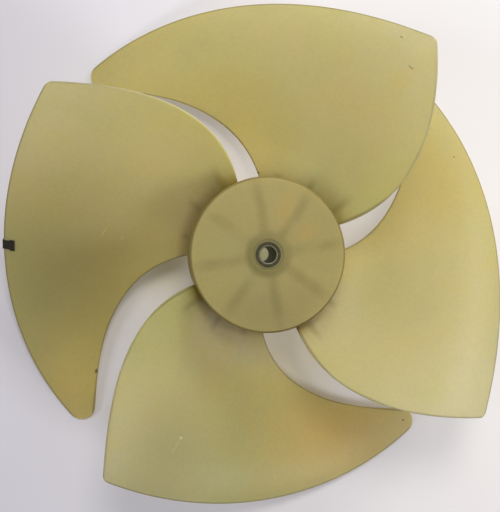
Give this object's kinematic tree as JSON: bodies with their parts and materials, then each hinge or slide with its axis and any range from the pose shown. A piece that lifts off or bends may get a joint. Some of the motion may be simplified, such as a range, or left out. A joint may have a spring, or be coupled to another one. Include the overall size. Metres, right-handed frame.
{
  "type": "axial fan impeller",
  "caption": "Moulded plastic axial fan impeller: swept, cambered blades on a ribbed cup-shaped hub with a moulded-in metal shaft insert and a small steel balance clip.",
  "frame": {"origin": "middle of the shaft insert's bore, on the shaft axis", "axes": "+Z along the shaft axis to the side of the hub's closed face, the discharge side; +Y lies in the direction in which one blade points, a little short of its middle; seen from +Z the impeller turns anticlockwise"},
  "size_m": [0.4008, 0.4, 0.1103],
  "materials": {
    "fan_plastic": "translucent yellow-green moulded plastic, satin, lightly marked",
    "insert_steel": "dull grey turned metal with a brighter chamfer at the bore's mouth",
    "clip_steel": "blackened spring steel"
  },
  "bodies": {
    "root": {"impeller": "fan_plastic", "shaft_insert": "insert_steel", "balance_clip": "clip_steel"}
  },
  "joints": []
}
